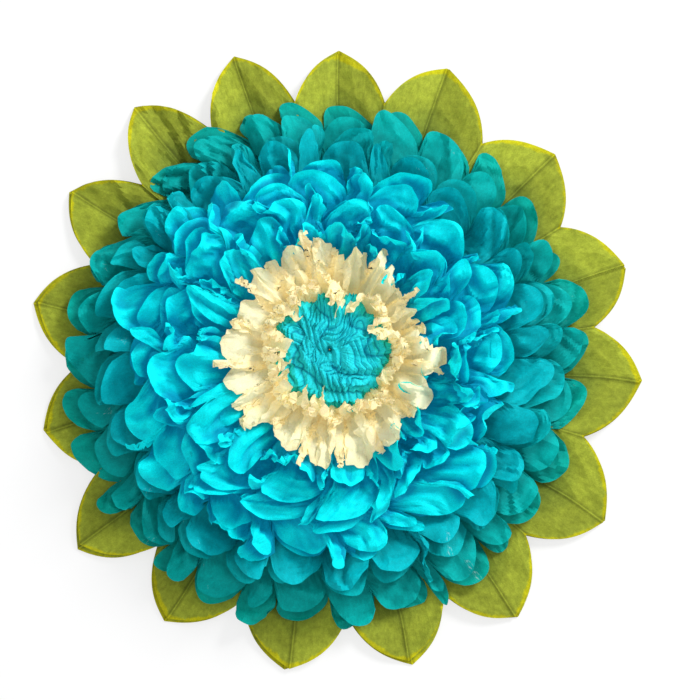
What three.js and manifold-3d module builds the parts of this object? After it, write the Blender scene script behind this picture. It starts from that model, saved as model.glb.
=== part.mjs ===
// Tissue paper flower, lying face up on its back.
//
// Fourteen sheets of tissue are stacked, folded together like an accordion, tied
// round the middle and fanned out to both sides until the two half fans meet in
// a full circle. The ends were cut while folded: to a point on the leaf sheets,
// to a round on the petal sheets. Shorter sheets lie in front of longer ones and
// are pulled further forward, so the stack opens into a nest of pleated bowls.
//
// Units are millimetres. +Z is the way the flower faces. The origin is the middle
// of the tie's flat back, level with the folds that the flower lies on.
import * as THREE from "three";
import Module from "manifold-3d";

// The stock that was folded: its long side is pleated.
const stockLongSide = 660;
const pleatsPerFan = 16;
const paper = 0.5;
const paperGap = 0.5;

// The hub, where the tie gathers the two fans and presses the pleats flat.
const hubRadius = 12;
const pleatsOpenBy = 46;
const pleatFirmness = 0.6;
const keelDepth = 3.4;

// The tie, a flat twist tie whose ends are twisted into a short tail.
const tieWidth = 5;
const tieThickness = 0.8;
const tieHalfSpan = 7;
const tieClearance = 0.35;
const tailLength = 26;
const tailWidth = 1.6;

// Rings of fold points that every sheet long enough for them has.
const sharedRings = [38, 112];

// How far the leaves reach, where they part, and how much shorter each sheet in
// front is cut.
const leafReach = 250;
const leafNotch = 207;
const leafTrim = 4;

// Where each leaf points, in degrees from +X, and how much further it reaches.
const leafBearings = [17, 42, 68, 89, 108, 128, 147, 169, 193, 215, 236, 260, 283, 304, 328, 355];
const leafUneven = [-7, -10, -1, -3, 6, 9, 3, -2, -7, 9, 3, 4, 4, 4, 2, -4];

// The front of the flower sits a little up and to the left of its tie.
const faceLean = [-6, 8];
const faceHeight = 80;

// Groups of like sheets, from the back to the front. reach is how far the ends
// reach from the tie and lift how far they stand off the back, each from the
// group's first sheet to its last. bow is the power of that rise. drift draws
// the group to one side by that share of its reach. wave is how far folds stray up
// or down at the ends, sway how far sideways as a share of half a panel, and curl
// how far the round ends turn up, each from the first sheet to the last.
const leafSheets = {
  name: "leaf", count: 2, reach: [leafReach, leafReach], lift: [0, 3], bow: 2,
  wave: [0, 0], sway: [0, 0], curl: [0, 0],
};
const tealSheets = {
  name: "teal", count: 4, reach: [211, 172], lift: [5, 32], bow: 2,
  scallop: 20, drift: 0.05, driftBearing: 215, wave: [0, 4], sway: [0, 0.3], curl: [0, 1],
};
const turquoiseSheets = {
  name: "turquoise", count: 5, reach: [160, 108], lift: [40, 76], bow: 1,
  scallop: 20, drift: 0.09, driftBearing: 195, wave: [5, 9], sway: [0.4, 0.6], curl: [0, 7],
};
const creamSheets = {
  name: "cream", count: 2, reach: [84, 71], lift: [64, 69], bow: 0.95,
  scallop: 14, drift: 0, driftBearing: 0, wave: [4, 5], sway: [0.6, 0.6], curl: [0, 4],
};
const handCut = 0.03;

// A round end has a shoulder on each side of its tip: how far across the panel it
// is, and how much of the scallop it lies below the tip and turns up with it.
const shoulderAt = 0.2;
const shoulderDrop = 0.22;
const shoulderTurn = 0.6;

// Folds keep their places near the tie and stray more and more between these radii.
const steadyTo = 50;
const loosenedBy = 140;

// The middle sheet, whose ends are pressed in at the top to make a crumpled tuft.
const tuftReach = 40;
const tuftLift = 40;
const tuftShoulder = 77;
const tuftTop = 86;
const tuftMouth = 4;
const tuftCrumple = 2.6;

const colours = {
  leaf: 0x9aa631,
  teal: 0x0a8f90,
  turquoise: 0x08c2cc,
  cream: 0xf2dd98,
  tuft: 0x0a9cb8,
  tie: 0xe8e6df,
};
const paperRoughness = 0.6;

const panels = 2 * pleatsPerFan;
const panelWidth = stockLongSide / pleatsPerFan;
const pitch = paper + paperGap;
const hubBottom = tieThickness + tieClearance;
const fullTurn = 2 * Math.PI;
const { degToRad, lerp, smoothstep, euclideanModulo } = THREE.MathUtils;

// A repeatable uneven number from 0 to 1 for each place in the flower.
function chance(a, b) {
  const wave = Math.sin(a * 12.9898 + b * 78.233) * 43758.5453;
  return wave - Math.floor(wave);
}

// Every second fold is a leaf's midrib, and the folds between lie midway.
function foldBearings() {
  const perLeaf = panels / leafBearings.length;
  const bearings = [];
  for (let fold = 0; fold < panels; fold++) {
    const leaf = Math.floor(fold / perLeaf);
    const from = leafBearings[leaf];
    const to = leafBearings[(leaf + 1) % leafBearings.length];
    const turn = euclideanModulo(to - from, 360);
    bearings.push(degToRad(from + (turn * (fold - leaf * perLeaf)) / perLeaf));
  }
  return bearings;
}

const folds = foldBearings();

// How far a fold strays up and sideways, from -1 to 1. It is the same in every
// sheet, so that the stack stays nested.
const strayUp = (fold) => 2 * chance(fold % panels, 3) - 1;
const straySideways = (fold) => 2 * chance(fold % panels, 8) - 1;

function foldBearing(sheet, fold, radius) {
  const loose = smoothstep(radius, steadyTo, loosenedBy);
  return folds[fold % panels] + (sheet.sway * loose * straySideways(fold) * fullTurn) / panels / 2;
}

function bearingAt(sheet, panel, across, radius) {
  const from = foldBearing(sheet, panel, radius);
  const turn = euclideanModulo(foldBearing(sheet, panel + 1, radius) - from, fullTurn);
  return from + turn * across;
}

// The depth of the zigzag from valley folds to ridge folds. A panel keeps its
// width, so pleats are deep near the tie and pull flat where the circle is as
// long as the paper.
function pleatDepth(radius) {
  const chord = (fullTurn * radius) / panels;
  const free = Math.sqrt(Math.max(panelWidth ** 2 - chord ** 2, 0));
  const opened = smoothstep(radius, hubRadius, pleatsOpenBy);
  return opened * Math.max(pleatFirmness * free, keelDepth);
}

// Even folds are valleys and odd folds are ridges.
function ridgeShare(panel, across) {
  return panel % 2 === 0 ? across : 1 - across;
}

// The share of the way from the hub to the sheet's ends.
function runAt(sheet, radius) {
  return Math.max(radius - hubRadius, 0) / (sheet.reach - hubRadius);
}

// The height of a sheet's underside.
function undersideHeight(sheet, radius, ridge) {
  const settled = smoothstep(radius, hubRadius, sharedRings[0]);
  const valley = hubBottom * (1 - settled) + sheet.order * pitch + sheet.lift * runAt(sheet, radius) ** sheet.bow;
  return valley + pleatDepth(radius) * ridge;
}

// Leaning starts above the stacked hub, which the tie passes through.
function leaned(radius, bearing, height) {
  const share = Math.max(height - hubTop, 0) / faceHeight;
  const x = radius * Math.cos(bearing) + faceLean[0] * share;
  const y = radius * Math.sin(bearing) + faceLean[1] * share;
  return [x, y, height];
}

// A place on a panel, between its two folds. turnedUp is how far the end turns up there.
function onPanel(sheet, panel, across, radius, turnedUp = 0) {
  const stray = sheet.wave * runAt(sheet, radius) ** 2 * lerp(strayUp(panel), strayUp(panel + 1), across);
  const height = undersideHeight(sheet, radius, ridgeShare(panel, across)) + stray + turnedUp;
  return leaned(radius, bearingAt(sheet, panel, across, radius), height);
}

// How far a round end reaches: drawn to the group's side, and uneven as cut by hand.
function petalReach(sheet, panel) {
  const towards = Math.cos(bearingAt(sheet, panel, 0.5, hubRadius) - degToRad(sheet.driftBearing));
  const uneven = handCut * (chance(panel, sheet.order) - 0.5);
  return sheet.reach * (1 + sheet.drift * towards + uneven);
}

function notchRadius(sheet, fold) {
  const before = petalReach(sheet, euclideanModulo(fold - 1, panels));
  return (before + petalReach(sheet, fold)) / 2 - sheet.scallop;
}

// The round end of one panel, from its first fold to its second.
function roundEnd(sheet, panel) {
  const tip = petalReach(sheet, panel);
  const shoulder = tip - shoulderDrop * sheet.scallop;
  const turnedUp = shoulderTurn * sheet.curl;
  return [
    onPanel(sheet, panel, shoulderAt, shoulder, turnedUp),
    onPanel(sheet, panel, 0.5, tip, sheet.curl),
    onPanel(sheet, panel, 1 - shoulderAt, shoulder, turnedUp),
  ];
}

// Half of a leaf: the tip is on the even fold and the notch on the odd one.
function leafEnd(sheet, panel) {
  const even = panel % 2 === 0;
  const leaf = Math.floor((panel + 1) / 2) % leafUneven.length;
  const tip = sheet.reach + leafUneven[leaf] - sheet.order * leafTrim;
  const at = (share, ridge) => onPanel(sheet, panel, even ? ridge : 1 - ridge, lerp(leafNotch, tip, share));
  const edge = [at(1, 0), at(0.72, 0.42), at(0.34, 0.8)];
  return even ? edge : edge.reverse();
}

// Collects points that share a place, and the faces between them.
class Surface {
  points = [];
  faces = [];
  places = new Map();

  add(point) {
    const place = point.map((value) => value.toFixed(4)).join();
    if (!this.places.has(place)) this.places.set(place, this.points.push(point) - 1);
    return this.places.get(place);
  }

  // Quads between two rings of points, one to a fold. Each is split from its inner
  // valley to its outer ridge, so that sheets in a stack crease alike.
  band(inner, outer) {
    inner.forEach((a, i) => {
      const next = (i + 1) % inner.length;
      const [b, c, d] = [outer[i], outer[next], inner[next]];
      if (i % 2 === 0) this.faces.push([a, b, c], [a, c, d]);
      else this.faces.push([a, b, d], [b, c, d]);
    });
  }

  // Triangles of a convex outline, all from one of its corners.
  fan(outline, corner) {
    outline.forEach((a, i) => {
      const b = outline[(i + 1) % outline.length];
      if (a !== outline[corner] && b !== outline[corner]) this.faces.push([outline[corner], a, b]);
    });
  }
}

// The hub of a sheet: a flat disc with a gap on each side of the waist, between
// the two half fans, which the tie goes through.
function addHub(surface, ring, height) {
  const halfWidth = tieWidth / 2 + tieClearance;
  const near = tieHalfSpan - tieThickness / 2 - tieClearance;
  const far = tieHalfSpan + tieThickness / 2 + tieClearance;
  const gaps = [1, -1].map((side) => [
    [-halfWidth, side * near],
    [halfWidth, side * near],
    [halfWidth, side * far],
    [-halfWidth, side * far],
  ]);
  const flat = (outline) => outline.map(([x, y]) => new THREE.Vector2(x, y));
  const contour = ring.map((index) => surface.points[index]);
  const indices = [...ring, ...gaps.flat().map(([x, y]) => surface.add([x, y, height]))];
  const triangles = THREE.ShapeUtils.triangulateShape(flat(contour), gaps.map(flat));
  for (const [a, b, c] of triangles) {
    const [p, q, r] = [a, b, c].map((i) => surface.points[indices[i]]);
    const area = (q[0] - p[0]) * (r[1] - p[1]) - (r[0] - p[0]) * (q[1] - p[1]);
    surface.faces.push(area > 0 ? [indices[a], indices[b], indices[c]] : [indices[a], indices[c], indices[b]]);
  }
}

// Gives a surface thickness: thicken(point) is the same place on its upper side.
function solidSheet(surface, thicken) {
  const count = surface.points.length;
  const position = [...surface.points, ...surface.points.map(thicken)].flat();
  const index = [];
  const edges = new Set();
  for (const [a, b, c] of surface.faces) {
    index.push(a + count, b + count, c + count, a, c, b);
    [[a, b], [b, c], [c, a]].forEach(([from, to]) => edges.add(`${from},${to}`));
  }
  for (const edge of edges) {
    const [a, b] = edge.split(",").map(Number);
    if (!edges.has(`${b},${a}`)) index.push(a, b, b + count, a, b + count, a + count);
  }
  const geometry = new THREE.BufferGeometry();
  geometry.setAttribute("position", new THREE.Float32BufferAttribute(position, 3));
  geometry.setIndex(index);
  geometry.computeVertexNormals();
  return geometry;
}

const raised = ([x, y, z]) => [x, y, z + paper];
const everyFold = [...folds.keys()];

// A pleated sheet from the hub to its cut ends. notchAt(fold) is where the fold
// meets the edge, endOf(panel) the cut end between two folds, and corner picks
// the point that the end's triangles spread from.
function pleatedSheet(sheet, notchAt, endOf, corner) {
  const surface = new Surface();
  const ringAt = (radiusOf) =>
    everyFold.map((fold) => surface.add(onPanel(sheet, fold, 0, radiusOf(fold))));
  const shortest = Math.min(...everyFold.map(notchAt));
  const radii = sharedRings.filter((radius) => radius < shortest - 0.1 * sheet.reach);
  const rings = [hubRadius, ...radii].map((radius) => ringAt(() => radius));
  rings.push(ringAt(notchAt));
  rings.slice(1).forEach((outer, i) => surface.band(rings[i], outer));
  addHub(surface, rings[0], undersideHeight(sheet, hubRadius, 0));
  const rim = rings.at(-1);
  for (const panel of everyFold) {
    const end = endOf(panel).map((point) => surface.add(point));
    surface.fan([rim[panel], ...end, rim[(panel + 1) % panels]], corner(panel));
  }
  return solidSheet(surface, raised);
}

function leafSheet(sheet) {
  return pleatedSheet(
    sheet,
    () => leafNotch,
    (panel) => leafEnd(sheet, panel),
    (panel) => (panel % 2 === 0 ? 0 : 4),
  );
}

function petalSheet(sheet) {
  return pleatedSheet(
    sheet,
    (fold) => notchRadius(sheet, fold),
    (panel) => roundEnd(sheet, panel),
    () => 2,
  );
}

// The tuft: pleated and rising from the hub, then folded over at its shoulder
// with the ends pressed in towards a small mouth on top.
function tuftSheet(sheet) {
  const surface = new Surface();
  const inward = new Map();
  const ring = (radius, heightOf, inset) =>
    everyFold.map((fold) => {
      const point = leaned(radius, folds[fold], heightOf(fold));
      const index = surface.add(point);
      const bearing = folds[fold];
      inward.set(point, [-inset[0] * Math.cos(bearing), -inset[0] * Math.sin(bearing), inset[1]]);
      return index;
    });
  const pleated = (radius) => (fold) => undersideHeight(sheet, radius, ridgeShare(fold, 0));
  const crumpled = (height, row) => (fold) => height + tuftCrumple * (2 * chance(fold, row) - 1);
  const rings = [
    ring(hubRadius, pleated(hubRadius), [0, 1]),
    ring(sharedRings[0], pleated(sharedRings[0]), [0.4, 0.9]),
    ring(tuftReach, crumpled(tuftShoulder, 1), [1, 0]),
    ring(0.8 * tuftReach, crumpled(tuftTop, 2), [0.5, -0.9]),
    ring(0.42 * tuftReach, crumpled(tuftTop, 3), [0, -1]),
    ring(tuftMouth, () => tuftTop - tuftCrumple, [0, -1]),
  ];
  rings.slice(1).forEach((outer, i) => surface.band(rings[i], outer));
  addHub(surface, rings[0], undersideHeight(sheet, hubRadius, 0));
  return solidSheet(surface, (point) => {
    const [dx, dy, dz] = inward.get(point) ?? [0, 0, 1];
    return [point[0] + paper * dx, point[1] + paper * dy, point[2] + paper * dz];
  });
}

// A three.js geometry as a manifold-3d solid, and back.
const wasm = await Module();
wasm.setup();

function toSolid(geometry) {
  const surface = new Surface();
  const flat = (geometry.index ? geometry.toNonIndexed() : geometry).getAttribute("position");
  const corners = [];
  for (let i = 0; i < flat.count; i++) corners.push(surface.add([flat.getX(i), flat.getY(i), flat.getZ(i)]));
  return new wasm.Manifold(
    new wasm.Mesh({
      numProp: 3,
      vertProperties: new Float32Array(surface.points.flat()),
      triVerts: new Uint32Array(corners),
    }),
  );
}

function toGeometry(solid) {
  const { vertProperties, triVerts } = solid.getMesh();
  const geometry = new THREE.BufferGeometry();
  geometry.setAttribute("position", new THREE.BufferAttribute(new Float32Array(vertProperties), 3));
  geometry.setIndex(new THREE.BufferAttribute(new Uint32Array(triVerts), 1));
  geometry.computeVertexNormals();
  return geometry;
}

function rectangle(shape, x0, x1, y0, y1) {
  shape.moveTo(x0, y0);
  shape.lineTo(x1, y0);
  shape.lineTo(x1, y1);
  shape.lineTo(x0, y1);
  shape.closePath();
  return shape;
}

// The tie: a flat band looped round the waist of all the sheets, with a tail
// that lies under the ridge fold next to it.
function tieLoop() {
  const outer = tieHalfSpan + tieThickness / 2;
  const inner = tieHalfSpan - tieThickness / 2;
  const clearTop = hubTop + tieClearance;
  const loop = rectangle(new THREE.Shape(), -outer, outer, 0, clearTop + tieThickness);
  loop.holes.push(rectangle(new THREE.Path(), -inner, inner, tieThickness, clearTop));
  const band = new THREE.ExtrudeGeometry(loop, { depth: tieWidth, bevelEnabled: false });
  const acrossX = new THREE.Matrix4().makeBasis(
    new THREE.Vector3(0, 1, 0),
    new THREE.Vector3(0, 0, 1),
    new THREE.Vector3(1, 0, 0),
  );
  band.translate(0, 0, -tieWidth / 2).applyMatrix4(acrossX);
  const tail = new THREE.BoxGeometry(tailLength, tailWidth, tieThickness);
  const upright = Math.PI / 2;
  const ridge = folds.filter((_, fold) => fold % 2 === 1).reduce((best, bearing) => {
    return Math.abs(bearing - upright) < Math.abs(best - upright) ? bearing : best;
  });
  tail.translate(tailLength / 2, 0, tieThickness / 2).rotateZ(ridge).translate(0, inner, 0);
  return toGeometry(toSolid(band).add(toSolid(tail)));
}

function material(slot) {
  return new THREE.MeshStandardMaterial({
    name: slot,
    color: colours[slot],
    roughness: paperRoughness,
    metalness: 0,
    side: THREE.DoubleSide,
  });
}

function named(name, slot, geometry) {
  const mesh = new THREE.Mesh(geometry, material(slot));
  mesh.name = name;
  return mesh;
}

// Every sheet of a group, each with its own reach, lift and place in the stack.
function sheetsOf(group, firstOrder) {
  return Array.from({ length: group.count }, (_, i) => {
    const share = i / (group.count - 1);
    const between = ([first, last]) => lerp(first, last, share);
    return {
      ...group,
      name: `${group.name}_sheet_${i + 1}`,
      slot: group.name,
      order: firstOrder + i,
      reach: between(group.reach),
      lift: between(group.lift),
      wave: between(group.wave),
      sway: between(group.sway),
      curl: between(group.curl),
    };
  });
}

const groups = [leafSheets, tealSheets, turquoiseSheets, creamSheets];
const sheets = groups.reduce((stack, group) => [...stack, ...sheetsOf(group, stack.length)], []);
const hubTop = hubBottom + sheets.length * pitch + paper;

const flower = new THREE.Group();
flower.name = "tissue_flower";
for (const sheet of sheets) {
  const geometry = sheet.slot === "leaf" ? leafSheet(sheet) : petalSheet(sheet);
  flower.add(named(sheet.name, sheet.slot, geometry));
}
const tuft = { order: sheets.length, reach: tuftReach, lift: tuftLift, bow: creamSheets.bow };
flower.add(named("centre_tuft", "tuft", tuftSheet(tuft)));
flower.add(named("tie", "tie", tieLoop()));

export default flower;
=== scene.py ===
"""Tissue paper flower: pleated and tied sheets of tissue, seen face on.

Every sheet is one continuous mesh, laid out like the paper: columns run along
the pleats from the tie to the cut end, rows run round the flower. The folds are
placed first. Each panel then rises between its two folds, the ends are bent and
crumpled, and the sheet is laid on the ones behind it. Fine gathers near the tie
and frills further out take up the width that the paper has to spare.
"""
import math

import bpy
import numpy as np
from bpy.props import FloatProperty, FloatVectorProperty, IntProperty, PointerProperty
from bpy.types import Operator, Panel, PropertyGroup
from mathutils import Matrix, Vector


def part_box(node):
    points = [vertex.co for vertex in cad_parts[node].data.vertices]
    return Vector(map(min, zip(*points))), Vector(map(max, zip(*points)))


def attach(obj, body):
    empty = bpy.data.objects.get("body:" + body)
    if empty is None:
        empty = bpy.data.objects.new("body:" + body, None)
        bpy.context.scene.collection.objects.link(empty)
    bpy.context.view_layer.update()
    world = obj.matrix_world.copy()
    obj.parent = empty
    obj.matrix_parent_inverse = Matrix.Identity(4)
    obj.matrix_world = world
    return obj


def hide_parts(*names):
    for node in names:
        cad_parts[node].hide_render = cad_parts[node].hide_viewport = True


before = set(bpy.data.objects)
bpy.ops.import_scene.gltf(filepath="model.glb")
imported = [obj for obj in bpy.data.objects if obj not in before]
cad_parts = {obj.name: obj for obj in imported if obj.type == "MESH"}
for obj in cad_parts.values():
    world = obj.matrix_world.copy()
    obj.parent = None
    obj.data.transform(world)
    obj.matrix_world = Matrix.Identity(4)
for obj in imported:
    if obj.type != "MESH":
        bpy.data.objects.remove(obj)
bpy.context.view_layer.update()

bl_info = {
    "name": "Tissue Paper Flower",
    "version": (1, 0, 0),
    "blender": (4, 5, 0),
    "location": "3D View > Sidebar > Flower",
    "description": "Builds a pleated tissue paper flower and its studio",
    "category": "Add Mesh",
}

MM = 0.001
FOLDS = 32
TURN = 2 * math.pi

# Where each leaf points, in degrees from +X, and how far its tip reaches.
LEAF_BEARINGS = (17, 42, 68, 89, 108, 128, 147, 169, 193, 215, 236, 260, 283, 304, 328, 355)
LEAF_REACHES = (243, 240, 249, 247, 256, 259, 253, 248, 243, 259, 253, 254, 254, 254, 252, 246)
LEAF_NOTCH = 207

# How much shorter the second leaf sheet's tips are: the least, and the most that chance adds.
LEAF_TRIM = (0.5, 4)

# A leaf's end falls off from its ridge: the straight share of the fall, and the power of the rest.
LEAF_STRAIGHT = 0.45
LEAF_ROUND = 2.8

# How full and how square the round ends of petals are, from the least to the most.
END_FULLNESS = (1.7, 3.0)
END_SQUARENESS = (0.55, 0.8)

# How the rows of mesh crowd towards the ends.
LEAF_ROWS = 0.85
PETAL_ROWS = 0.6

# Shares of a sheet's reach between which its panels come free of the ones beside them.
PANELS_FREE = (0.45, 0.95)

# Radii in millimetres between which the sway of all sheets sets in.
SWAY_START = (50, 140)

# The side towards which the ends stand most upright, in degrees from +X.
UPRIGHT_BEARING = 35

# How crumpled a fold of a sheet is, from the least to the most, and how far its folds stand out.
CRUMPLED = (0.45, 1.25)
CRUMPLE_LIMIT = 5

# The side of the flower that was crushed most, and how much more than the rest each group was.
CRUSHED_BEARING = math.radians(130)
CRUSHED_SPREAD = math.radians(14)
CRUSHED = {"leaf": 7, "teal": 2.4, "turquoise": 0.5, "cream": 0}

# Sharp folds wander: the sizes of wide and close waves and how far the close ones go, in spacings
# of the folds, and how many waves are mixed.
WIDE_WAVES = 5
CLOSE_WAVES = 1.8
CLOSE_DRIFT = 0.4
WAVES_MIXED = 4

# Where gathers start, in millimetres from the middle. Where frills take their place and where
# gathers fade are shares of the sheet's reach.
GATHERS_START = (13, 22)
FRILLS_START = (0.35, 0.6)
GATHERS_FADE = (0.5, 0.85)

# Petal sheets lie in twos, and the second of two reaches this much nearer to the first's ends.
TWIN_REACH = 6

# The front sits a little to the left and up: how far, from which height on and over what height.
LEAN = (-6, 8)
LEAN_FROM = 18
LEAN_OVER = 80

# Petals that would stand higher than this are pressed down softly, within the height over it.
PRESSED_FROM = 92
PRESSED_OVER = 18

# The least height of tissue over the table.
LOWEST = 0.25

# Where the random numbers of single sheets, of groups and of the tuft start.
SHEET_SEEDS = 100
GROUP_SEEDS = 40
TUFT_SEED = 77

# The pleated side of the middle sheet, a narrower strip than the others.
TUFT_STOCK = 216

# Columns and rows of mesh in the tuft, the radius and height of its foot, how much of a quarter
# turn its wall takes inwards, and the height that the turn adds.
TUFT_GRID = (400, 120)
TUFT_FOOT = 12
TUFT_FOOT_HEIGHT = 15
TUFT_TURN = 0.998
TUFT_DOME = 12

# The tuft's folds: spacing in millimetres, direction across the folds, and drift in spacings.
TUFT_FOLDS = {
    "upright": (5, (0.97, 0.2, 0.1), 0.9),
    "slanting": (4.4, (0.88, -0.45, 0.1), 1.2),
    "patches": (26, (0.5, 0.8, 0.2), 1.2),
    "fine": (2.6, (0.9, -0.3, 0.2), 1.0),
    "broad": (17, (0.8, 0.5, 0.2), 1.2),
}
TUFT_DEPTHS = {"main": 2.6, "fine": 1.2, "broad": 4.5}

# How many marks of each kind lie along a metre of tissue, patches of painted highlight among them, and how
# fibres are drawn out along it.
STAINS = 34
SPOTS = 210
GRAINS = 1100
FIBRES = 420
HIGHLIGHT_PATCHES = 24
CRINKLES = 75
FACETS = 55
DRAWN_OUT = 0.3

# The metres of paper that marks are laid over, round the circle and from the tie to the cut end.
PAPER_AROUND = 1.32
PAPER_ALONG = 0.2

# The colour of the painted highlights, the height of the finest relief, and the least angle that shows as a
# fold.
PAINTED_GLINT = (0.55, 0.78, 0.78)
BUMP_HEIGHT = 1.5 * MM
SHARP_ANGLE = math.radians(22)

# Hollows take a painted shade colour: rounds of averaging that give the level of the petals about and
# nearest to a place, and how far under each level a place is in full painted shade.
ABOUT_ROUNDS = 14
NEAREST_ROUNDS = 4
ABOUT_DEPTH = 16 * MM
NEAREST_DEPTH = 6 * MM

# The studio: a white table just under the flower, a plain sky and one round lamp.
TABLE_DROP = 0.5 * MM
TABLE_GLOW = 0.7
SKY_STRENGTH = 0.75
LAMP_PLACE = (1.1, 1.1, 1.25)
LAMP_SIZE = 0.6
LAMP_POWER = 34
CAMERA_ASIDE = (0.0105, 0.0064)
SENSOR = 36

# How each group of sheets is shaped. Lengths are in millimetres, and angles in radians but for towards.
# order: how many sheets lie behind the group
# lift: how far the ends stand off the back, first sheet to last; bow: power of that rise
# scallop: depth of the cut between two round ends
# drift, towards: how much longer the ends are on one side, and its bearing in degrees
# firm, keel: how much of the pleats' depth is kept, and the least depth
# wave, sway: how far folds stray up and sideways, alike in every sheet, first sheet to last
# own_sway, swirl: how far a sheet's own folds stray, and how far every second two is turned
# reach_play, stray: how far its ends differ in length and stray sideways
# curl, curl_play: how far the ends bend up, first sheet to last, and how unevenly
# upright, knee: how much further they bend up on one side, and the length of the bend
# twist: how far a free end tips sideways
# belly: how high a panel rises between its folds, as a share of what its spare width allows
# folding: spacing and slope of the folds pressed into the paper, broad to fine
# pair: how far every second panel opens wide over the next
# gathers: share of the gathers near the tie that is left at the ends, first sheet to last
# frill: columns of mesh in one frill, or 0 for none
# skew: how far the tip of a round end strays to one side
# settle: how much flatter the pleats lie towards the ends
# clear: how many gaps the sheet lies above the ones behind it
GROUPS = {
    "leaf": dict(order=0, lift=(0, 3), bow=2, scallop=0, drift=0, towards=0, firm=0.6, keel=7,
                 wave=(0.5, 0.5), sway=(0, 0), own_sway=0, swirl=0.0, reach_play=0.004, stray=0.014,
                 curl=(0, 0), curl_play=0.06, upright=0, knee=30, twist=1.0, belly=0.3,
                 folding=((60, 0.06), (26, 0.07), (13, 0.06)),
                 pair=0, gathers=(0, 0), frill=0, skew=0, settle=0, clear=1),
    "teal": dict(order=2, lift=(5, 32), bow=2.0, scallop=24, drift=0.05, towards=215, firm=0.6, keel=5,
                 wave=(1, 4), sway=(0, 0.3), own_sway=0.6, swirl=0.5, reach_play=0.03, stray=0.02,
                 curl=(0.0, 0.2), curl_play=0.35, upright=0, knee=30, twist=3, belly=0.2,
                 folding=((46, 0.3), (24, 0.36), (13, 0.3)),
                 pair=0.6, gathers=(0, 0), frill=0, skew=0.7, settle=0, clear=1),
    "turquoise": dict(order=6, lift=(40, 76), bow=1.0, scallop=20, drift=0.09, towards=195, firm=0.6,
                      keel=6, wave=(5, 9), sway=(0.4, 0.6), own_sway=0.5, swirl=0.5, reach_play=0.06,
                      stray=0.05, curl=(0, 0.5), curl_play=1.0, upright=0.3, knee=22, twist=8,
                      belly=0.4, folding=((44, 0.42), (24, 0.48), (13, 0.4)),
                      pair=1.5, gathers=(0.3, 0.9), frill=8, skew=0.7, settle=0.3, clear=1),
    "cream": dict(order=11, lift=(64, 69), bow=0.95, scallop=14, drift=0, towards=0, firm=0.6, keel=5,
                  wave=(4, 5), sway=(0.6, 0.6), own_sway=0.6, swirl=0.5, reach_play=0.05, stray=0.05,
                  curl=(0.1, 1.2), curl_play=0.8, upright=0, knee=12, twist=6, belly=0.6,
                  folding=((24, 0.45), (13, 0.4), (8, 0.25)),
                  pair=1.5, gathers=(1, 1), frill=8, skew=0.6, settle=0.45, clear=4),
}
SHEETS = {
    "leaf": ("leaf_sheet_1", "leaf_sheet_2"),
    "teal": ("teal_sheet_1", "teal_sheet_2", "teal_sheet_3", "teal_sheet_4"),
    "turquoise": tuple(f"turquoise_sheet_{i}" for i in range(1, 6)),
    "cream": ("cream_sheet_1", "cream_sheet_2"),
}


# Sizes and colours that a user can change

class FlowerSizes(PropertyGroup):
    panel_width: FloatProperty(
        name="Panel width", description="Width of one pleat of tissue", default=41.25 * MM,
        unit="LENGTH", min=0.02, max=0.08)
    hub_radius: FloatProperty(
        name="Hub radius", description="Radius of the flat middle under the tie", default=12 * MM,
        unit="LENGTH", min=0.005, max=0.03)
    pleats_open_by: FloatProperty(
        name="Pleats open by", description="Radius at which the pleats have their full depth",
        default=46 * MM, unit="LENGTH", min=0.02, max=0.1)
    gap: FloatProperty(
        name="Gap", description="Clear height kept between one sheet and the next", default=1.0 * MM,
        unit="LENGTH", min=0.0001, max=0.005)
    columns: IntProperty(
        name="Columns", description="Columns of mesh in each panel", default=16, min=4, max=24)
    rows: IntProperty(
        name="Rows", description="Rows of mesh from hub to end", default=56, min=16, max=90)
    camera_height: FloatProperty(
        name="Camera height", description="Height of the camera over the table", default=1.6,
        unit="LENGTH", min=0.5, max=5)
    frame_width: FloatProperty(
        name="Frame width", description="Width of the table that the camera sees", default=0.563,
        unit="LENGTH", min=0.2, max=2)
    table_width: FloatProperty(
        name="Table width", description="Width of the square table", default=6,
        unit="LENGTH", min=1, max=20)


def colour(name, description, value):
    return FloatVectorProperty(
        name=name, description=description, default=value, subtype="COLOR", size=3, min=0, max=1)


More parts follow.
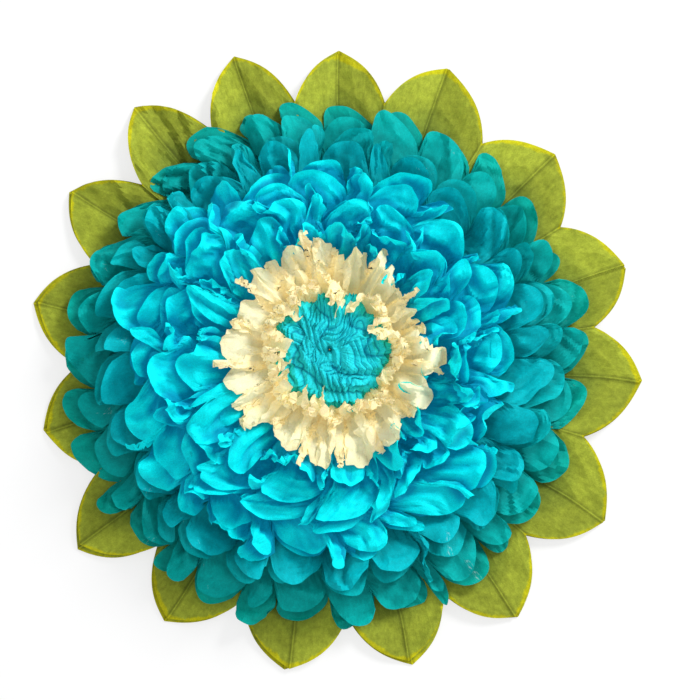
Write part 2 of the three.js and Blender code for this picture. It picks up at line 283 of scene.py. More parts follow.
class FlowerColours(PropertyGroup):
    leaf: colour("Leaf", "Yellow green of the leaf sheets", (0.37, 0.43, 0.04))
    # Painted shade: the leaves darker towards the tie, under the petals, and in hollows.
    leaf_shade: colour("Leaf shade", "Green of the leaves near the folds", (0.2, 0.26, 0.03))
    # Painted light: the cut edges of the leaves brighter and yellower, as light shines through the thin edge.
    leaf_edge_light: colour("Leaf edge", "Bright yellow along the cut edges", (0.55, 0.53, 0.01))
    teal: colour("Teal", "Green blue of the teal sheets' ends", (0.0, 0.5, 0.56))
    # Painted shade and light: the teal sheet furthest back darker, and greener as the leaves' green shows
    # through it.
    teal_back_shade: colour("Back teal", "Greener teal of the sheet nearest to the leaves", (0.0, 0.42, 0.36))
    # Painted shade: the teal darker towards the tie and in hollows.
    teal_shade: colour("Teal shade", "Teal towards the tie", (0.0, 0.09, 0.1))
    turquoise: colour("Turquoise", "Bright turquoise of the petals' ends", (0.0, 0.8, 0.84))
    # Painted shade: the turquoise bluer and darker towards the tie and in hollows.
    turquoise_shade: colour("Turquoise shade", "Blue turquoise towards the tie", (0.0, 0.1, 0.34))
    cream: colour("Cream", "Warm cream of the ring", (1.0, 0.93, 0.64))
    # Painted shade: the cream yellower and darker inside the ring and in hollows.
    cream_shade: colour("Cream shade", "Yellow of the ring's inside", (1.0, 0.84, 0.45))
    # Painted shade: the ring's thin tips greyer than the rest.
    cream_tip_shade: colour("Cream edge", "Greyer cream of the thin tips", (0.9, 0.78, 0.48))
    tuft: colour("Centre", "Turquoise of the centre's ridges", (0.02, 0.75, 0.85))
    # Painted shade: the blue in the centre's creases.
    tuft_shade: colour("Centre shade", "Blue of the centre's creases", (0.0, 0.15, 0.33))
    tie: colour("Tie", "Off white of the paper tie", (0.72, 0.7, 0.64))


# The shape of pleated tissue

def smooth(value, low, high):
    """From 0 at the low value to 1 at the high one, with soft ends."""
    t = np.clip((value - low) / (high - low), 0, 1)
    return t * t * (3 - 2 * t)


def fold_bearings():
    """Every second fold is a leaf's midrib, and the folds between lie midway."""
    leaves = np.radians(LEAF_BEARINGS)
    following = np.append(leaves[1:], leaves[0] + TURN)
    return np.ravel(np.column_stack((leaves, (leaves + following) / 2)))


def chance(a, b):
    """A repeatable uneven number from 0 to 1 for each place in the flower."""
    wave = math.sin(a * 12.9898 + b * 78.233) * 43758.5453
    return wave - math.floor(wave)


# How far each fold strays up and sideways, from -1 to 1, alike in every sheet.
STRAY_UP = np.array([2 * chance(fold, 3) - 1 for fold in range(FOLDS)])
STRAY_SIDEWAYS = np.array([2 * chance(fold, 8) - 1 for fold in range(FOLDS)])


def unwrapped(bearings):
    return np.append(bearings, bearings[0] + TURN)


def closed(values):
    """A value for each fold, with the first one again at the end of the circle."""
    return np.append(values, values[0])


def between_folds(values, panel, across):
    """Values of the folds, carried across each panel from its first fold to its second."""
    return values[panel] * (1 - across) + values[panel + 1] * across


def panel_middles():
    """The bearing of each panel's middle."""
    bearings = unwrapped(fold_bearings())
    return (bearings[:-1] + bearings[1:]) / 2


def unit(vectors):
    """The same vectors, made one unit long."""
    return vectors / np.maximum(np.linalg.norm(vectors, axis=-1, keepdims=True), 1e-12)


def around(rng, count):
    """A smooth uneven value from -1 to 1 for each fold, the same at both ends of the circle."""
    coarse = rng.uniform(-1, 1, count)
    at = np.linspace(0, count, FOLDS, endpoint=False)
    low = np.floor(at).astype(int)
    t = smooth(at - low, 0, 1)
    return coarse[low % count] * (1 - t) + coarse[(low + 1) % count] * t


def uneven_folds(shared, rng, own=0.6, waves=13):
    """An uneven value for each fold, partly smooth and alike in the group, partly the sheet's own."""
    return closed((1 - own) * around(shared, waves) + own * rng.uniform(-1, 1, FOLDS))


def drifting(places, rng, size, shift):
    """The same places, drawn aside by smooth waves of about a size."""
    moved = places.copy()
    for _ in range(WAVES_MIXED):
        wave = rng.normal(size=places.shape[-1])
        wave *= TURN / (size * np.linalg.norm(wave))
        aside = shift / 2 * unit(rng.normal(size=places.shape[-1]))
        moved += aside * np.sin(places @ wave + rng.uniform(0, TURN))[:, None]
    return moved


def sharp_folds(places, rng, spacing, direction, drift=2.4):
    """Folds with straight sides and sharp backs, from 0 in the creases to 1."""
    places = drifting(places, rng, WIDE_WAVES * spacing, drift * spacing)
    places = drifting(places, rng, CLOSE_WAVES * spacing, CLOSE_DRIFT * spacing)
    phase = places @ np.array(direction) / spacing
    return np.abs(2 * (phase % 1) - 1)


def faceted(fold_at, radius, width, folding, rng):
    """Plane facets between sharp folds over the flat sheet: zigzags of several spacings, laid together."""
    drum = FOLDS * width / TURN
    bearing = (fold_at / FOLDS * TURN)[:, None] + 0 * radius
    places = np.stack((drum * np.cos(bearing), drum * np.sin(bearing), radius), axis=2).reshape(-1, 3)
    height = np.zeros(len(places))
    for spacing, slope in folding:
        direction = unit(rng.normal(size=3) * (1, 1, 0.7))
        height += slope * spacing / 2 * (sharp_folds(places, rng, spacing, direction) - 0.5)
    return height.reshape(radius.shape)


def upward(vectors):
    """The same vectors, turned to point up and made one unit long."""
    return unit(vectors * np.where(vectors[..., 2:] < 0, -1, 1))


def grid_normals(points):
    """Normals of a grid of points whose columns close round the circle."""
    along = np.gradient(points, axis=1)
    across = (np.roll(points, -1, axis=0) - np.roll(points, 1, axis=0)) / 2
    return upward(np.cross(across, along))


def leaned(points, most):
    """Draws the front of the flower to the left and up, by the height of each point."""
    share = np.clip((points[..., 2] - LEAN_FROM) / LEAN_OVER, 0, most)
    points[..., 0] += LEAN[0] * share
    points[..., 1] += LEAN[1] * share
    return points


class Heap:
    """The height of what already lies in the flower, on rings and spokes."""

    spokes = 900
    rings = 270
    reach = 0.27

    def __init__(self):
        self.height = np.zeros((self.spokes, self.rings))

    def place(self, points):
        bearing = np.arctan2(points[..., 1], points[..., 0]) % TURN
        radius = np.hypot(points[..., 0], points[..., 1])
        return bearing / TURN * self.spokes, np.minimum(radius / self.reach * self.rings, self.rings - 1.001)

    def under(self, points):
        spoke, ring = self.place(points)
        i, j = np.floor(spoke).astype(int), np.floor(ring).astype(int)
        s, t = spoke - i, ring - j
        h = self.height
        a, b = i % self.spokes, (i + 1) % self.spokes
        return (h[a, j] * (1 - s) * (1 - t) + h[b, j] * s * (1 - t)
                + h[a, j + 1] * (1 - s) * t + h[b, j + 1] * s * t)

    def add(self, points):
        layer = np.zeros_like(self.height)
        finer = refined(points, 3)
        spoke, ring = self.place(finer)
        i = np.round(spoke).astype(int) % self.spokes
        j = np.round(ring).astype(int)
        np.maximum.at(layer, (i.ravel(), j.ravel()), finer[..., 2].ravel())
        for axis in (0, 1, 0, 1):
            layer = np.maximum(layer, np.maximum(np.roll(layer, 1, axis), np.roll(layer, -1, axis)))
        height = np.maximum(self.height, layer)
        for axis in (0, 1, 0, 1):
            height = (np.roll(height, 1, axis) + 2 * height + np.roll(height, -1, axis)) / 4
        self.height = height

    def softened(self, spread):
        """The same heights, averaged over a spread of rings and spokes."""
        soft = Heap()
        height = self.height.copy()
        for _ in range(spread):
            for axis in (0, 1):
                height = (np.roll(height, 1, axis) + height + np.roll(height, -1, axis)) / 3
        soft.height = height
        return soft


def refined(points, factor):
    """More points of the same grid, in straight steps between its own."""
    steps = np.arange(factor)[None, :, None, None] / factor
    joined = np.concatenate((points, points[:1]))
    wide = joined[:-1, None] * (1 - steps) + joined[1:, None] * steps
    wide = wide.reshape(-1, *points.shape[1:])
    steps = np.arange(factor)[None, None, :, None] / factor
    long = wide[:, :-1, None] * (1 - steps) + wide[:, 1:, None] * steps
    return np.concatenate((long.reshape(len(wide), -1, 3), wide[:, -1:]), axis=1)


def rest_on(heap, points, gap):
    """Lifts points that would lie lower than what is already there, and eases the lift."""
    floor = heap.under(points) + gap
    give = 0.8 * MM
    far = 40
    over = np.clip((points[..., 2] - floor) / give, -far, far)
    lift = np.where(over < far, floor + give * np.logaddexp(0, over) - points[..., 2], 0)
    for _ in range(3):
        around_lift = (np.roll(lift, 1, axis=0) + 2 * lift + np.roll(lift, -1, axis=0)) / 4
        lift = around_lift.copy()
        lift[:, 1:-1] = (around_lift[:, :-2] + 2 * around_lift[:, 1:-1] + around_lift[:, 2:]) / 4
    points[..., 2] += lift
    return points


def crushed(group, rng):
    """How strongly each fold of a sheet is crumpled. One leaf and the petals over it are most so."""
    play = rng.uniform(*CRUMPLED, FOLDS)
    away = (fold_bearings() - CRUSHED_BEARING + math.pi) % TURN - math.pi
    return closed(play + CRUSHED[group] * np.exp(-(away / CRUSHED_SPREAD) ** 2))


def gathers(points, sheet, reach, width):
    """Takes up the width that the paper has to spare: fine gathers near the tie, and frills beyond."""
    columns = len(points)
    across = (np.roll(points, -1, axis=0) - points)[:, :-1] / MM
    along = unit(np.diff(points, axis=1))
    step = np.linalg.norm(np.cross(across, along), axis=2).mean(axis=0)
    rise = np.sqrt(np.maximum((width * FOLDS / columns) ** 2 - step ** 2, 0)) / 2
    rise = np.append(rise, rise[-1])
    radius = np.hypot(points[..., 0], points[..., 1]) / MM
    out = radius / reach
    left = 1 - (1 - sheet["gathers"]) * smooth(out, *GATHERS_FADE)
    rise = rise * left * smooth(radius, *GATHERS_START) * MM
    frilled = smooth(out, *FRILLS_START) * (sheet["frill"] > 0)

    place = np.arange(columns)[:, None]
    uneven = 0.6 + 0.8 * np.array([chance(column, 5) for column in range(columns)])
    fine = np.where(place % 2 == 0, 1, -1) * uneven[:, None] * rise * (1 - frilled)

    period = max(sheet["frill"], 1)
    slant = 5 * smooth(out, 0.3, 1.1) * np.sin(7 * TURN * place / columns)
    turns = 4 * np.abs((place + slant) / period % 1 - 0.5) - 1
    play = 0.7 + 0.6 * np.array([chance(column // period, 6) for column in range(columns)])
    frills = period / 2 * turns * play[:, None] * rise * frilled
    return fine, grid_normals(points) * frills[..., None]


def leaf_ends(sheet, panel, across):
    """How long each column of a leaf sheet is, and where the cut between its points begins."""
    ridge = np.where(panel % 2 == 0, across, 1 - across)
    leaf = ((panel + 1) // 2) % len(LEAF_REACHES)
    least, more = LEAF_TRIM
    trim = np.array([least + more * chance(i, 5) ** 2 for i in range(len(LEAF_REACHES))])
    tips = (np.array(LEAF_REACHES) - trim * sheet["index"])[leaf]
    notch = np.full(len(panel), float(LEAF_NOTCH))
    fall = LEAF_STRAIGHT * ridge + (1 - LEAF_STRAIGHT) * ridge ** LEAF_ROUND
    return notch + (tips - notch) * (1 - fall), notch


def petal_ends(sheet, reach, panel, across, rng):
    """How long each column of a petal sheet is, and where the cut between its round ends begins."""
    uneven = 1 + sheet["drift"] * np.cos(panel_middles() - math.radians(sheet["towards"]))
    tips = reach * (uneven + sheet["reach_play"] * rng.uniform(-1, 1, FOLDS))
    at_fold = closed((tips + np.roll(tips, 1)) / 2 - sheet["scallop"])
    notch = between_folds(at_fold, panel, across)
    aside = across + (sheet["skew"] * rng.uniform(-1, 1, FOLDS))[panel] * across * (1 - across)
    fullness = rng.uniform(*END_FULLNESS, FOLDS)[panel]
    squareness = rng.uniform(*END_SQUARENESS, FOLDS)[panel]
    return notch + (tips[panel] - notch) * (1 - np.abs(2 * aside - 1) ** fullness) ** squareness, notch


def panel_bearings(sheet, reach, rng, width, hub):
    """Fold bearings by radius: towards the ends some panels open wide and others close."""
    half_panel = TURN / FOLDS / 2
    sideways = sheet["sway"] * STRAY_SIDEWAYS * half_panel
    twins = np.random.default_rng(sheet["group_seed"] + sheet["index"] // 2)
    own = sheet["own_sway"] * twins.uniform(-1, 1, FOLDS) * half_panel
    swirl = (sheet["swirl"] * (sheet["index"] // 2 % 2) + 0.1 * rng.uniform(-1, 1)) * TURN / FOLDS
    opening = sheet["pair"] * twins.uniform(0.6, 1.2, FOLDS // 2) * twins.choice([-1, 1])
    pairs = np.column_stack((-opening, opening)).ravel() * half_panel / 2
    base = np.diff(unwrapped(fold_bearings()))
    free_from, free_by = PANELS_FREE
    radii = np.linspace(0, 1.25 * reach, 96)
    table = []
    for radius in radii:
        free = smooth(radius, free_from * reach, free_by * reach)
        bearings = fold_bearings() + smooth(radius, *SWAY_START) * sideways + free * (own + pairs)
        angles = np.diff(unwrapped(bearings))
        for _ in range(4):
            angles *= TURN / angles.sum()
            angles = np.minimum(angles, np.maximum(0.98 * width / max(radius, hub), base))
        angles *= TURN / angles.sum()
        table.append(bearings[0] + free * swirl + np.concatenate(([0], np.cumsum(angles))))
    table = np.array(table).T

    def bearing(fold, radius):
        at = np.clip(radius / radii[-1] * (len(radii) - 1), 0, len(radii) - 1.001)
        low = np.floor(at).astype(int)
        share = at - low
        rows = np.broadcast_to(fold[:, None], low.shape)
        return table[rows, low] * (1 - share) + table[rows, low + 1] * share

    return bearing


def bent(points, angle):
    """Turns each step of a grid's columns upwards by an angle, and joins the steps up again."""
    steps = np.diff(points, axis=1)
    outward = unit(points[:, -1, :2] - points[:, 0, :2])[:, None, :]
    along = (steps[..., :2] * outward).sum(axis=2)
    rise = steps[..., 2]
    turn = (angle[:, 1:] + angle[:, :-1]) / 2
    turned = along * np.cos(turn) - rise * np.sin(turn)
    steps[..., 2] = along * np.sin(turn) + rise * np.cos(turn)
    steps[..., :2] += outward * (turned - along)[..., None]
    return np.concatenate((points[:, :1], points[:, :1] + np.cumsum(steps, axis=1)), axis=1)


def risen(first, second, across, fullness, apex, width):
    """Points between two folds, risen from the straight line by what the panel's width allows."""
    span = second - first
    outward = (first + second) / 2
    outward[..., 2] = 0
    normal = upward(np.cross(unit(outward), span))
    distance = np.linalg.norm(span, axis=2)
    spare = np.sqrt(3 / 8 * distance * np.maximum(width - distance, 0))
    spare = np.minimum(spare, 0.32 * distance)
    across = across[:, None]
    bulge = 4 * across * (1 - across)
    tent = np.minimum(across / apex, (1 - across) / (1 - apex))
    rise = spare * fullness * (0.25 * bulge + 0.75 * tent)
    return first + span * across[..., None] + normal * rise[..., None]


def end_bend(sheet, notch, panel, across, radius, curl, rng):
    """How steeply each point bends up: not at all before its end, then by the sheet's curl."""
    start = notch - 0.6 * sheet["scallop"] - 0.5 * sheet["knee"]
    bend = sheet["curl"] + sheet["upright"] * np.cos(panel_middles() - math.radians(UPRIGHT_BEARING))[panel]
    bend = bend + between_folds(curl, panel, smooth(across, 0, 1))
    bend = bend + 0.7 * sheet["curl_play"] * rng.uniform(-1, 1, FOLDS)[panel] * 4 * across * (1 - across)
    return bend[:, None] * smooth(radius - start[:, None], 0, 1.5 * sheet["knee"])


def strayed(points, group, sheet, panel, across, tip, rng):
    """Free ends tipped sideways and turned aside, each in its own way."""
    tips = rng.uniform(-1, 1, FOLDS)[panel] * sheet["twist"]
    points[..., 2] += (tips * (2 * across - 1))[:, None] * tip
    petal = (panel + 1) // 2 % (FOLDS // 2) if group == "leaf" else panel
    stray = sheet["stray"] * (rng.uniform(-1, 1, FOLDS) ** 3)[petal][:, None] * tip
    x, y = points[..., 0].copy(), points[..., 1].copy()
    points[..., 0] = x * np.cos(stray) - y * np.sin(stray)
    points[..., 1] = x * np.sin(stray) + y * np.cos(stray)
    return points


def pleated_sheet(group, sheet, reach, sizes):
    """Points of one sheet, as columns by rows, and their places on the flat paper."""
    rng = np.random.default_rng(sheet["seed"])
    shared = np.random.default_rng(sheet["group_seed"])
    hub = sizes.hub_radius / MM
    width = sizes.panel_width / MM

    fold_at = np.arange(FOLDS * sizes.columns) / sizes.columns
    panel = np.floor(fold_at).astype(int)
    across = fold_at - panel
    if group == "leaf":
        length, notch = leaf_ends(sheet, panel, across)
    else:
        length, notch = petal_ends(sheet, reach, panel, across, rng)
    run = np.linspace(0, 1, sizes.rows) ** (LEAF_ROWS if group == "leaf" else PETAL_ROWS)
    radius = hub + (length[:, None] - hub) * run[None, :]
    share = (radius - hub) / (reach - hub)

    bearing_at = panel_bearings(sheet, reach, rng, width, hub)
    wave = sheet["wave"] * (closed(STRAY_UP) + 0.3 * uneven_folds(shared, rng, own=1))
    curl = sheet["curl_play"] * uneven_folds(shared, rng)
    firm = 0.35 * uneven_folds(shared, rng)

    def fold_point(fold):
        """The place of each column's fold line at the column's radii."""
        ridge = (fold % 2)[:, None]
        free = np.sqrt(np.maximum(width ** 2 - (TURN * radius / FOLDS) ** 2, 0))
        opened = smooth(radius, hub, sizes.pleats_open_by / MM)
        flag = np.clip(share, 0, 1.3)
        depth = opened * np.maximum(sheet["firm"] * free, sheet["keel"])
        depth = depth * (1 - sheet["settle"] * smooth(share, 0.5, 1)) * (1 + firm[fold][:, None] * flag)
        height = 1.15 * (1 - smooth(radius, hub, 38)) + sheet["order"]
        height = height + sheet["lift"] * np.maximum(share, 0) ** sheet["bow"] + ridge * depth
        height = height + wave[fold][:, None] * flag ** 2
        bearing = bearing_at(fold, radius)
        return np.stack((radius * np.cos(bearing), radius * np.sin(bearing), height), axis=2)

    fullness = sheet["belly"] * (0.75 + 0.25 * rng.uniform(-1, 1, FOLDS))
    fullness = fullness[panel][:, None] * smooth(radius, 30, 0.8 * reach)
    highest = rng.uniform(0.25, 0.75, FOLDS)[panel][:, None]
    slant = rng.uniform(-0.4, 0.4, FOLDS)[panel][:, None]
    apex = np.clip(highest + slant * (share - 0.8), 0.15, 0.85)
    points = risen(fold_point(panel), fold_point(panel + 1), across, fullness, apex, width)
    points = bent(points, end_bend(sheet, notch, panel, across, radius, curl, rng))
    points = strayed(points, group, sheet, panel, across, smooth(radius, notch[:, None], length.max()), rng)

    rough = faceted(fold_at, radius, width, sheet["folding"], rng)
    rough *= between_folds(crushed(group, rng), panel, across)[:, None] * smooth(radius, hub, 4 * hub)
    normals = grid_normals(points)
    normals[..., :2] *= 0.6
    points += normals * np.clip(rough, -CRUMPLE_LIMIT, CRUMPLE_LIMIT)[..., None]

    high = np.maximum(points[..., 2] - PRESSED_FROM, 0)
    points[..., 2] += PRESSED_OVER * np.tanh(high / PRESSED_OVER) - high
    points = leaned(points, 1.4)
    points[..., 2] = np.maximum(points[..., 2], LOWEST)
    paper = np.stack((np.broadcast_to(fold_at[:, None] / FOLDS, share.shape),
                      (radius - hub) / (length[:, None] - hub)), axis=2)
    return points * MM, paper


def sheet_mesh(name, points, paper, depth, material):
    """A mesh of a grid whose columns close round the circle, closed at the hub."""
    columns, rows = points.shape[:2]
    index = np.arange(columns * rows).reshape(columns, rows)
    following = np.roll(index, -1, axis=0)
    quads = np.stack((index[:, :-1], index[:, 1:], following[:, 1:], following[:, :-1]), axis=2)
    mesh = bpy.data.meshes.new(name)
    middle = points[:, 0].mean(axis=0)
    vertices = np.concatenate((points.reshape(-1, 3), middle[None]))
    faces = quads.reshape(-1, 4).tolist()
    faces += [[columns * rows, int(a), int(b)] for a, b in zip(index[:, 0], following[:, 0])]
    mesh.from_pydata(vertices.tolist(), [], faces)
    layer = mesh.uv_layers.new(name="paper")
    corner = np.empty(len(mesh.loops), dtype=np.int32)
    mesh.loops.foreach_get("vertex_index", corner)
    flat = np.concatenate((paper.reshape(-1, 2), [[0.5, 0.0]]))
    layer.data.foreach_set("uv", flat[corner].ravel())
    # How much painted shade each point's colour takes.
    painted_shade = mesh.attributes.new("painted_shade", "FLOAT", "POINT")
    painted_shade.data.foreach_set("value", np.append(depth.ravel(), 1.0).astype(np.float32))
    mesh.polygons.foreach_set("use_smooth", [True] * len(mesh.polygons))
    mesh.materials.append(material)
    mesh.validate()
    mesh.set_sharp_from_angle(angle=SHARP_ANGLE)
    piece = bpy.data.objects.new(name, mesh)
    bpy.context.scene.collection.objects.link(piece)
    return piece


# Tissue, as nodes

def link(tree, source, target):
    tree.links.new(source, target)


def add_node(tree, kind, **inputs):
    node = tree.nodes.new(kind)
    for key, value in inputs.items():
        setattr(node, key, value)
    return node


def noise(tree, vector, scale, detail=3.0, rough=0.6, distortion=0.0):
    node = add_node(tree, "ShaderNodeTexNoise")
    node.inputs["Scale"].default_value = scale
    node.inputs["Detail"].default_value = detail
    node.inputs["Roughness"].default_value = rough
    node.inputs["Distortion"].default_value = distortion
    link(tree, vector, node.inputs["Vector"])
    return node.outputs["Fac"]


def ramp(tree, factor, stops):
    node = add_node(tree, "ShaderNodeValToRGB")
    elements = node.color_ramp.elements
    while len(elements) < len(stops):
        elements.new(0.5)
    for element, (position, value) in zip(elements, stops):
        element.position = position
        element.color = (*value, 1) if hasattr(value, "__len__") else (value, value, value, 1)
    link(tree, factor, node.inputs["Fac"])
    return node.outputs["Color"]


def mixed_colour(tree, blend, factor, first, second):
    node = add_node(tree, "ShaderNodeMix", data_type="RGBA", blend_type=blend)
    for value, socket in ((factor, node.inputs[0]), (first, node.inputs[6]), (second, node.inputs[7])):
        if hasattr(value, "links"):
            link(tree, value, socket)
        else:
            socket.default_value = value if not hasattr(value, "__len__") else (*value, 1)
    return node.outputs[2]


def paper_place(tree, along_share=1.0):
    """A place on the flat sheet in metres; a share under 1 draws patterns out along the panel."""
    uv = add_node(tree, "ShaderNodeUVMap", uv_map="paper").outputs["UV"]
    mapping = add_node(tree, "ShaderNodeMapping")
    mapping.inputs["Scale"].default_value = (PAPER_AROUND, PAPER_ALONG * along_share, 1)
    link(tree, uv, mapping.inputs["Vector"])
    return mapping.outputs["Vector"]


def math_node(tree, operation, *values):
    node = add_node(tree, "ShaderNodeMath", operation=operation)
    for value, socket in zip(values, node.inputs):
        if hasattr(value, "links"):
            link(tree, value, socket)
        else:
            socket.default_value = value
    return node.outputs[0]


def multiplied(tree, base, factor, stops):
    """A colour multiplied by what its stops give for a factor."""
    return mixed_colour(tree, "MULTIPLY", 1.0, base, ramp(tree, factor, stops))


def panel_places(tree, along):
    """How far a place lies across the whole sheet in panels, and how far from the nearest fold."""
    panels = math_node(tree, "MULTIPLY", along, FOLDS)
    return panels, math_node(tree, "PINGPONG", panels, 0.5)


def tissue_colour(tree, place, split, streaks, stops, shade_colour, shade_share, fold_line, mottle, highlight_rarity, shaded_halves):
    """Colour stops from hub to end, with painted shade towards the tie, in hollows, along the fold lines and
    on every second panel, with fibres and painted highlights.
    """
    stains = noise(tree, place, STAINS, 5, 0.68, 0.6)
    uneven = math_node(tree, "MULTIPLY_ADD", stains, 0.07, -0.035)
    along = math_node(tree, "ADD", split.outputs["Y"], uneven)
    # Painted shade: the colour goes over to the shade colour where a point lies down among higher petals.
    depth = add_node(tree, "ShaderNodeAttribute", attribute_name="painted_shade")
    shade = ramp(tree, depth.outputs["Fac"], [(0.12, 0.0), (1.0, shade_share)])
    base = mixed_colour(tree, "MIX", shade, ramp(tree, along, stops), shade_colour)
    base = multiplied(tree, base, stains, [(0.3, 1 - mottle), (0.7, 1 + mottle)])
    base = multiplied(tree, base, streaks, [(0.32, 1 - mottle), (0.62, 1 + 0.6 * mottle)])

    panels, from_fold = panel_places(tree, split.outputs["X"])
    # Painted shade: a dark line along each fold.
    line = [(0.008, 1.0), (0.02, 1 - fold_line), (0.035, 1 - 0.7 * fold_line), (0.07, 1.0)]
    base = multiplied(tree, base, from_fold, line)
    # Painted shade: every second panel darker, so one half of each leaf looks turned from the light.
    shaded_half = math_node(tree, "MULTIPLY", math_node(tree, "MODULO", panels, 2.0), 0.5)
    base = multiplied(tree, base, shaded_half, [(0.49, 1.0), (0.51, shaded_halves)])
    base = multiplied(tree, base, noise(tree, place, GRAINS, 2, 0.7), [(0.3, 0.88), (0.7, 1.14)])
    spots = noise(tree, place, SPOTS, 4, 0.65)
    base = multiplied(tree, base, spots, [(0.35, 1 - mottle), (0.65, 1 + mottle)])

    # Painted highlights: pale patches and streaks near the ends, standing in for glints off the glazed paper.
    highlight_patch = noise(tree, paper_place(tree), HIGHLIGHT_PATCHES, 3, 0.6, 0.8)
    highlight_streaks = noise(tree, paper_place(tree, DRAWN_OUT), FIBRES, 4, 0.8, 0.5)
    highlight_pattern = math_node(tree, "MULTIPLY_ADD", highlight_streaks, 0.7, math_node(tree, "ADD", highlight_patch, -0.35))
    tips = math_node(tree, "MULTIPLY", ramp(tree, along, [(0.84, 0.0), (0.95, 1.0)]),
                     ramp(tree, highlight_pattern, [(highlight_rarity, 0.0), (highlight_rarity + 0.08, 1.0)]))
    return mixed_colour(tree, "MIX", math_node(tree, "MULTIPLY", tips, 0.6), base, PAINTED_GLINT)


def tissue_bump(tree, split, streaks, fold_line, crinkle):
    """Fine crinkles, facets, fibres and pressed folds, as the surface's normal."""
    from_fold = panel_places(tree, split.outputs["X"])[1]
    crinkles = noise(tree, paper_place(tree), CRINKLES, 4, 0.55, 0.6)
    crinkles.node.noise_type = "RIDGED_MULTIFRACTAL"
    height = math_node(tree, "MULTIPLY_ADD", streaks, 0.3, crinkles)
    height = math_node(tree, "MULTIPLY_ADD", ramp(tree, from_fold, [(0.0, 1.0), (0.03, 0.0)]),
                       0.8 * fold_line, height)
    facets = add_node(tree, "ShaderNodeTexVoronoi")
    facets.inputs["Scale"].default_value = FACETS
    link(tree, paper_place(tree), facets.inputs["Vector"])
    height = math_node(tree, "MULTIPLY_ADD", facets.outputs["Distance"], 3.0, height)
    bump = add_node(tree, "ShaderNodeBump")
    bump.inputs["Strength"].default_value = crinkle
    bump.inputs["Distance"].default_value = BUMP_HEIGHT
    link(tree, height, bump.inputs["Height"])
    return bump.outputs["Normal"]


def tissue(name, stops, shade_colour, painted_glow=0.0, through=0.25, crinkle=0.35, shade_share=0.4, fold_line=0.0,
           mottle=0.08, highlight_rarity=0.74, shaded_halves=1.0):
    """Thin glazed tissue that lets some light through, with painted shade and painted highlights in its
    colour.

    painted_glow: a painted glow, as emission, for the light that pale layers pass on to one another; through:
    share of light let through
    crinkle: strength of the fine relief; sink: how far hollows take the painted shade colour
    fold_line: painted shade along the pressed folds, and the height of the pressed folds in the relief;
    mottle: unevenness of the dye
    glints: how rare the painted highlights are; halves: lightness of every second panel, a painted shade
    """
    material = bpy.data.materials.new(name)
    material.use_nodes = True
    tree = material.node_tree
    tree.nodes.clear()
    place = add_node(tree, "ShaderNodeTexCoord").outputs["Object"]
    split = add_node(tree, "ShaderNodeSeparateXYZ")
    link(tree, add_node(tree, "ShaderNodeUVMap", uv_map="paper").outputs["UV"], split.inputs["Vector"])
    streaks = noise(tree, paper_place(tree, DRAWN_OUT), FIBRES, 5, 0.7, 0.4)
    base = tissue_colour(tree, place, split, streaks, stops, shade_colour, shade_share, fold_line, mottle, highlight_rarity, shaded_halves)
    normal = tissue_bump(tree, split, streaks, fold_line, crinkle)

    surface = add_node(tree, "ShaderNodeBsdfPrincipled")
    surface.inputs["Roughness"].default_value = 0.75
    surface.inputs["Specular IOR Level"].default_value = 0.12
    # Painted light: the tissue glows a little, as emission, for light that pale layers pass on to one
    # another.
    surface.inputs["Emission Strength"].default_value = painted_glow
    glow = add_node(tree, "ShaderNodeBsdfTranslucent")
    for socket in (surface.inputs["Base Color"], surface.inputs["Emission Color"], glow.inputs["Color"]):
        link(tree, base, socket)
    for shader in (surface, glow):
        link(tree, normal, shader.inputs["Normal"])
    blend = add_node(tree, "ShaderNodeMixShader")
    blend.inputs["Fac"].default_value = through
    link(tree, surface.outputs[0], blend.inputs[1])
    link(tree, glow.outputs[0], blend.inputs[2])
    output = add_node(tree, "ShaderNodeOutputMaterial")
    link(tree, blend.outputs[0], output.inputs["Surface"])
    return material


# The pieces

def node_reach(node):
    """Half of a sheet's width over its ends, in millimetres, from its CAD node."""
    low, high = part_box(node)
    return (high[0] - low[0] + high[1] - low[1]) / 4 / MM


def layered_sheets(sizes):
    """Points and paper places of every sheet, laid on one another from the back."""
    heap = Heap()
    layers = {}
    for group, nodes in SHEETS.items():
        settings = GROUPS[group]
        for index, node in enumerate(nodes):
            order = settings["order"] + index
            share = index / (len(nodes) - 1)
            between = {name: settings[name][0] * (1 - share) + settings[name][1] * share
                       for name in ("lift", "wave", "sway", "curl", "gathers")}
            sheet = {**settings, **between, "order": order, "index": index,
                     "seed": SHEET_SEEDS + order, "group_seed": GROUP_SEEDS + settings["order"]}
            reach = float(LEAF_REACHES[0]) if group == "leaf" else node_reach(node)
            if group in ("teal", "turquoise"):
                reach += TWIN_REACH * (index % 2)
            points, paper = pleated_sheet(group, sheet, reach, sizes)
            fine, frills = gathers(points, sheet, reach, sizes.panel_width / MM)
            points = rest_on(heap, points + frills, sizes.gap * sheet["clear"])
            heap.add(points)
            points[..., 2] = np.maximum(points[..., 2] + fine, LOWEST * MM)
            layers[node] = (points, paper)
    # Softened heaps, from which the painted shade of hollows is worked out.
    return layers, heap.softened(ABOUT_ROUNDS), heap.softened(NEAREST_ROUNDS)


def shade_depth(about, nearest, points):
    """How far points lie down between higher petals and in their own hollows, from 0 to 1: the share of
    painted shade they take.
    """
    between = np.clip((about.under(points) - points[..., 2]) / ABOUT_DEPTH, 0, 1)
    hollow = np.clip((nearest.under(points) - points[..., 2]) / NEAREST_DEPTH, 0, 1)
    return np.clip(between + 0.45 * hollow, 0, 1)


# The sheets of the sizes last asked for, as every group needs the ones behind it.
STACKS = {}


